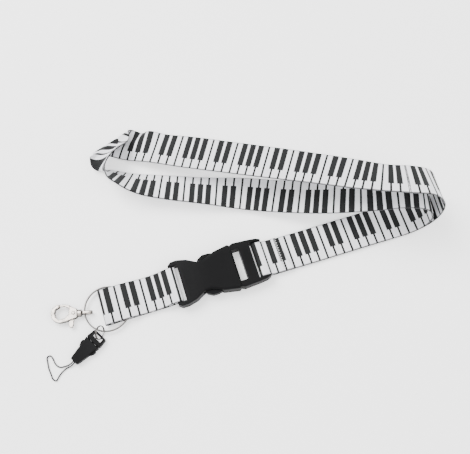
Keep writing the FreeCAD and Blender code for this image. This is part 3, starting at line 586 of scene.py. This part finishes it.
def metal_look(name, colour, rough, brushed, rim, outline):
    """Plated metal with fine scratches and thin dull patches. Painted shade: its edges, over the width of
    outline, and the faces that turn away from the view by more than rim are painted dark."""
    m = Look(name)
    stretched = m.node("Mapping", {"Vector": m.place(), "Scale": (1.0, 0.12, 1.0)}).outputs[0]
    scratch = m.noise(5200.0, 3.0, stretched, 0.7)
    stain = m.noise(260.0, 4.0)
    tint = m.mix(m.ramp(stain, 0.42, 0.75, 0.0, 0.4), colour, gray(0.40, 1.0, 0.94, 0.88))
    # painted shade on faces turned away from the view, and along the rounded edges
    turned = m.node("LayerWeight", {"Blend": 0.5}).outputs["Facing"]
    painted_edge_shade = m.ramp(m.flatness(m.rounded(outline, 6)), 0.999, 0.95)
    painted_shade = m.math("MAXIMUM", painted_edge_shade, m.ramp(turned, rim, rim + 0.3))
    # painted shade: these edges and faces are mixed toward a dark warm grey
    tint = m.mix(m.math("MULTIPLY", painted_shade, 0.96), tint, gray(0.03, 1.0, 0.92, 0.82))
    roughness = m.math("MULTIPLY_ADD", scratch, brushed, rough)
    roughness = m.math("MULTIPLY_ADD", m.ramp(stain, 0.45, 0.8), 0.12, roughness)
    return m.set(Base_Color=tint, Metallic=1.0, Roughness=roughness,
                 Normal=m.bump(scratch, 0.000010, 0.5, m.rounded(0.00018, 6)))


def floor_look():
    """Pale paper, lit a little from within so that it stays even."""
    m = Look("floor")
    return m.set(Base_Color=m.mix(m.noise(3.0, 2.0), gray(0.97), gray(0.985)), Roughness=0.8,
                 Specular_IOR_Level=0.1, Emission_Color=gray(1.0), Emission_Strength=0.7)


webbing_mat = webbing_look()
thread_mat = thread_look("white_thread", 0.85)
cord_mat = thread_look("black_cord", 0.022)
plastic_mat = plastic_look("black_acetal", 0.0009)
small_plastic_mat = plastic_look("black_acetal_small", 0.0004)
# rim and outline, the last two figures, set the painted shade on the sides and edges
steel_mat = metal_look("nickel_wire", gray(0.17, 1.0, 0.95, 0.93), 0.24, 0.12, 0.10, 0.0005)
clasp_mat = metal_look("nickel_casting", gray(0.62, 1.0, 0.91, 0.83), 0.30, 0.18, 0.12, 0.0009)

# ---------------------------------------------------------------- the pieces

# the print on each face, as pairs of length along the webbing and key of the print
NECK_PRINT = {
    "under": [(-16, -2), (14.4, 3), (107.8, 16.8), (107.9, 0.4), (190.7, 14), (208.2, 17), (208.3, 21),
              (246.8, 28), (328.7, 42), (371.2, 49), (415.5, 56), (513.3, 73), (536.5, 77), (578.8, 84),
              (621.8, 91), (640.3, 94), (859.5, 130)],
    "over": [(-12, -119.8), (722.1, 0), (859.5, 22.4)]}
LOWER_PRINT = {
    "under": [(-20, -9.3), (130, 15.3)],
    "over": [(-20, -10.8), (45.2, 0), (87.2, 7), (130, 14)]}

dress(webbing("neck_webbing", neck_path(), webbing_mat, NECK_PRINT), "neck_strap", "neck_half")
dress(webbing("lower_webbing", lower_path(), webbing_mat, LOWER_PRINT, flip=True),
      "lower_strap", "drop_half")
tack("neck_tack_stitches", "neck_bar_tack", "neck_half", swing=1.0, teeth=24,
     face_z=LYING + 2 * LAYER + THICK / 2, up=1, thread=0.28, arch=0.24)
tack("lower_tack_stitches", "lower_bar_tack", "drop_half", swing=2.0, teeth=30,
     face_z=0.36, up=-1, thread=0.30, arch=0.14)
braid("cord_braid", "cord_loop", "mini_end", cord_path(), 0.5)

FINISHES = {
    plastic_mat: ("buckle_socket", "buckle_plug", "buckle_prong_left", "buckle_prong_right"),
    small_plastic_mat: ("mini_plug", "mini_prong_left", "mini_prong_right", "mini_socket"),
    steel_mat: ("split_ring", "link_ring"),
    clasp_mat: ("clasp_swivel", "clasp_body", "clasp_lever", "clasp_rivet"),
}
for material, names in FINISHES.items():
    for name in names:
        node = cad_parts[name]
        node.data.materials.clear()
        node.data.materials.append(material)

# ---------------------------------------------------------------- stage, light and camera


def stage_floor():
    half, depth = 3000.0, 0.15
    corners = [(x * half, y * half, -depth) for x, y in ((-1, -1), (1, -1), (1, 1), (-1, 1))]
    make_mesh("floor", corners, [(0, 1, 2, 3)], floor_look())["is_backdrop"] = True


def area_light(name, where, aim, size, power):
    data = bpy.data.lights.new(name, "AREA")
    data.size = size
    data.energy = power
    obj = bpy.data.objects.new(name, data)
    obj.location = where
    obj.rotation_mode = "QUATERNION"
    obj.rotation_quaternion = (aim - where).to_track_quat("-Z", "Y")
    bpy.context.scene.collection.objects.link(obj)


def studio_world():
    """Even white surroundings, darker toward the floor."""
    strength, at_floor, overhead = 1.7, 0.35, 1.0
    world = bpy.data.worlds.new("studio")
    world.use_nodes = True
    tree = world.node_tree
    back = tree.nodes["Background"]
    coord = tree.nodes.new("ShaderNodeTexCoord")
    split = tree.nodes.new("ShaderNodeSeparateXYZ")
    rise = tree.nodes.new("ShaderNodeMapRange")
    for index, value in enumerate((-0.1, 0.9, at_floor, overhead), start=1):
        rise.inputs[index].default_value = value
    tree.links.new(coord.outputs["Generated"], split.inputs[0])
    tree.links.new(split.outputs[2], rise.inputs[0])
    tree.links.new(rise.outputs[0], back.inputs[0])
    back.inputs[1].default_value = strength
    bpy.context.scene.world = world


def photo_camera():
    """The photo's angle: from above, a little round to the left."""
    azimuth, elevation, distance = math.radians(-17.5), math.radians(70.0), 0.467
    aim = Vector((0.00944, 0.02995, 0.0))
    backward = Vector((math.sin(azimuth) * math.cos(elevation), -math.cos(azimuth) * math.cos(elevation),
                       math.sin(elevation)))
    data = bpy.data.cameras.new("camera")
    data.lens = 50.0
    data.sensor_width = 36.0
    camera = bpy.data.objects.new("camera", data)
    camera.location = aim + backward * distance
    camera.rotation_mode = "QUATERNION"
    camera.rotation_quaternion = (-backward).to_track_quat("-Z", "Y")
    bpy.context.scene.collection.objects.link(camera)
    bpy.context.scene.camera = camera


stage_floor()
low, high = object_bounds()
centre = (low + high) / 2
# a large soft key from behind on the left, and a weaker fill from the front on the right
area_light("key", centre + Vector((-0.5, 0.7, 1.1)), centre, 0.9, 34.0)
area_light("fill", centre + Vector((0.8, -0.7, 0.9)), centre, 1.2, 13.0)
studio_world()
photo_camera()

low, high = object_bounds()
